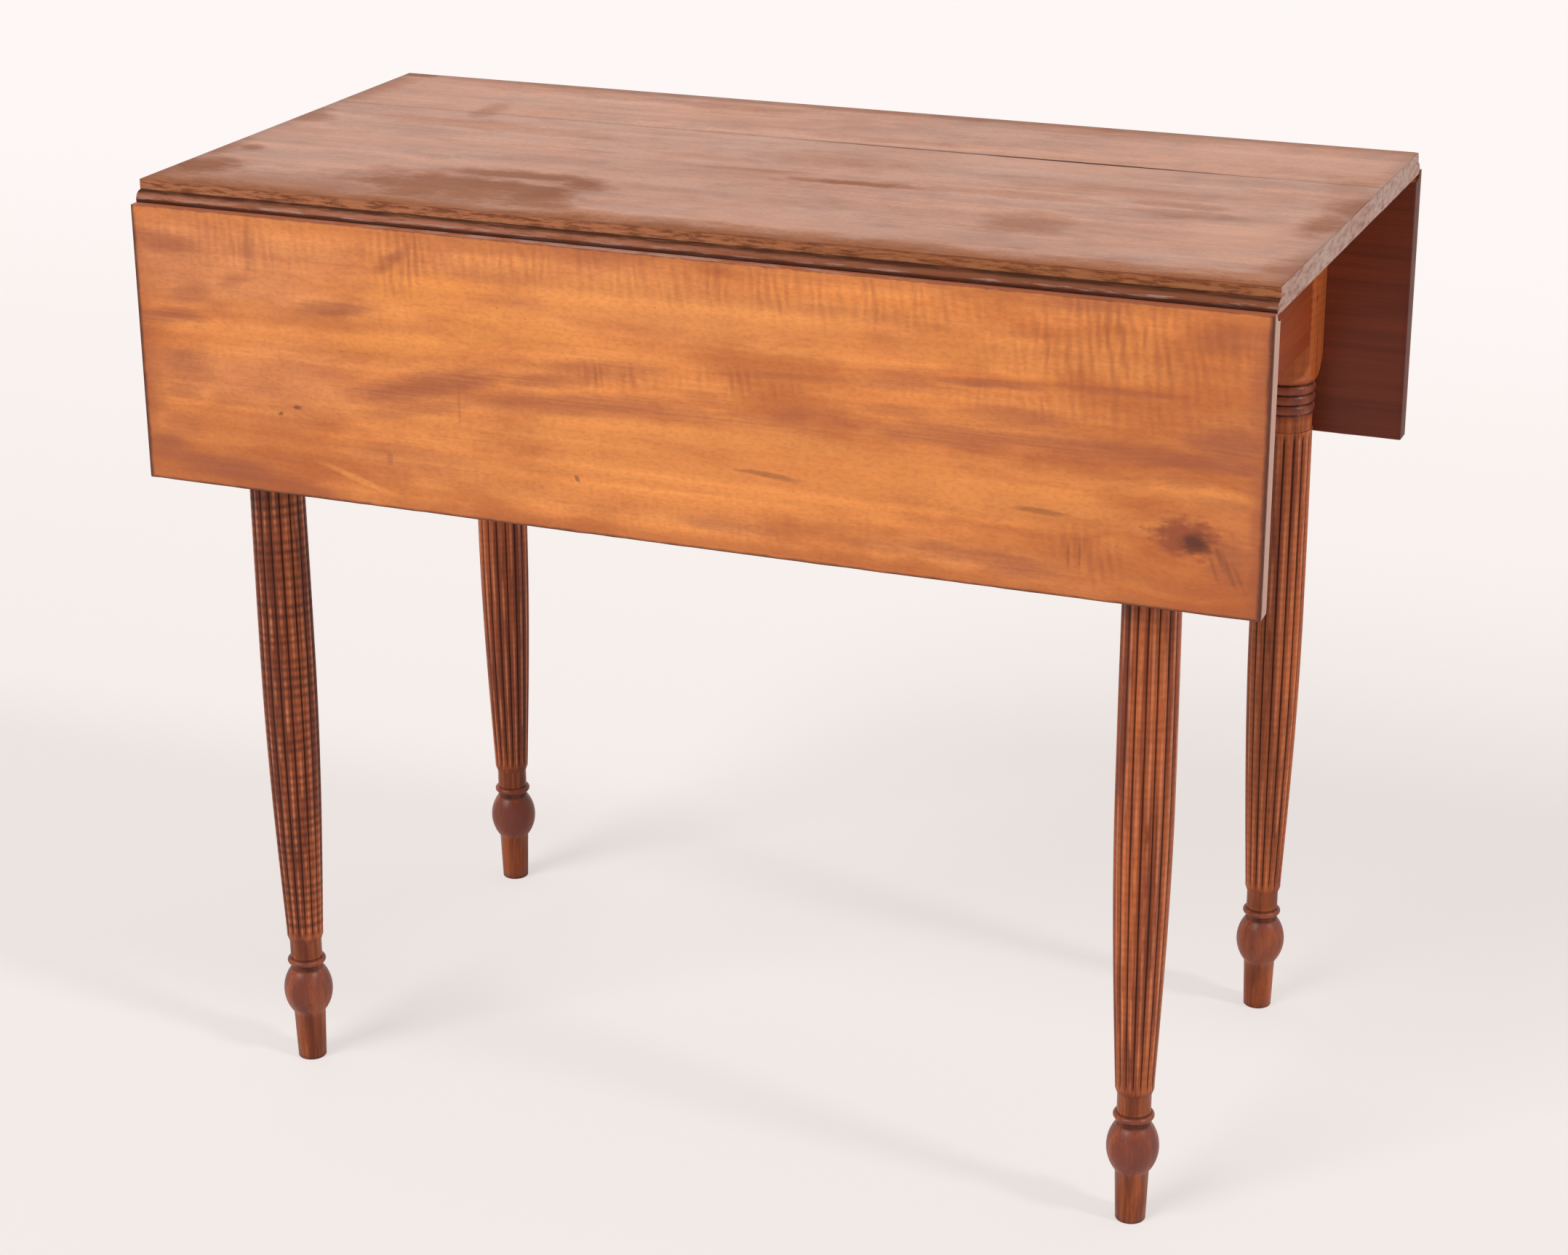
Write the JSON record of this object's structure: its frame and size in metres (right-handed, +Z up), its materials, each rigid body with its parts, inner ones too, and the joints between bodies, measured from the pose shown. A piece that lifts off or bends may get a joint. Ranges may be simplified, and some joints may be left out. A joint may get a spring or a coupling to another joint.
{
  "type": "pembroke table",
  "caption": "Drop-leaf pembroke table with a fixed top, two leaves on rule joints, fly brackets and slender reeded turned legs.",
  "frame": {"origin": "on the floor, under the middle of the fixed top", "axes": "+Z up, +X along the leaves, +Y towards the back leaf"},
  "size_m": [0.864, 0.45, 0.724],
  "materials": {
    "top_wood": "old worn varnish on brown maple",
    "leaf_wood": "satin shellac on curly maple",
    "leg_wood": "satin red-brown stain",
    "rail_wood": "stained maple",
    "inner_wood": "bare aged pine",
    "iron": "dark wrought iron"
  },
  "bodies": {
    "frame": {"back_fly_pin": "iron", "back_inner_rail": "inner_wood", "back_left_glue_block": "inner_wood", "back_left_hinge_pin": "iron", "back_left_hinge_top_plate": "iron", "back_left_leg": "leg_wood", "back_left_outer_rail": "rail_wood", "back_right_glue_block": "inner_wood", "back_right_hinge_pin": "iron", "back_right_hinge_top_plate": "iron", "back_right_leg": "leg_wood", "back_right_outer_rail": "rail_wood", "front_fly_pin": "iron", "front_inner_rail": "inner_wood", "front_left_glue_block": "inner_wood", "front_left_hinge_pin": "iron", "front_left_hinge_top_plate": "iron", "front_left_leg": "leg_wood", "front_left_outer_rail": "rail_wood", "front_right_glue_block": "inner_wood", "front_right_hinge_pin": "iron", "front_right_hinge_top_plate": "iron", "front_right_leg": "leg_wood", "front_right_outer_rail": "rail_wood", "left_end_rail": "rail_wood", "right_end_rail": "rail_wood", "tenon_dowels": "leg_wood", "top_back_board": "top_wood", "top_front_board": "top_wood", "top_hinge_screws": "iron", "top_screws": "iron"},
    "front_leaf": {"front_leaf": "leaf_wood", "front_leaf_hinge_screws": "iron", "front_left_hinge_leaf_plate": "iron", "front_right_hinge_leaf_plate": "iron"},
    "back_leaf": {"back_leaf": "leaf_wood", "back_leaf_hinge_screws": "iron", "back_left_hinge_leaf_plate": "iron", "back_right_hinge_leaf_plate": "iron"},
    "front_fly": {"front_fly": "rail_wood"},
    "back_fly": {"back_fly": "rail_wood"}
  },
  "joints": [
    {"name": "front_leaf_hinge", "type": "hinge", "parent": "frame", "child": "front_leaf", "pos_m": [0, -0.21, 0.709], "axis": [-1, 0, 0], "range_deg": [0, 90]},
    {"name": "back_leaf_hinge", "type": "hinge", "parent": "frame", "child": "back_leaf", "pos_m": [0, 0.21, 0.709], "axis": [1, 0, 0], "range_deg": [0, 90]},
    {"name": "front_fly_swing", "type": "hinge", "parent": "frame", "child": "front_fly", "pos_m": [0, -0.191, 0.642], "axis": [0, 0, 1], "range_deg": [0, 1.8]},
    {"name": "back_fly_swing", "type": "hinge", "parent": "frame", "child": "back_fly", "pos_m": [0, 0.191, 0.642], "axis": [0, 0, 1], "range_deg": [0, 1.8]}
  ]
}
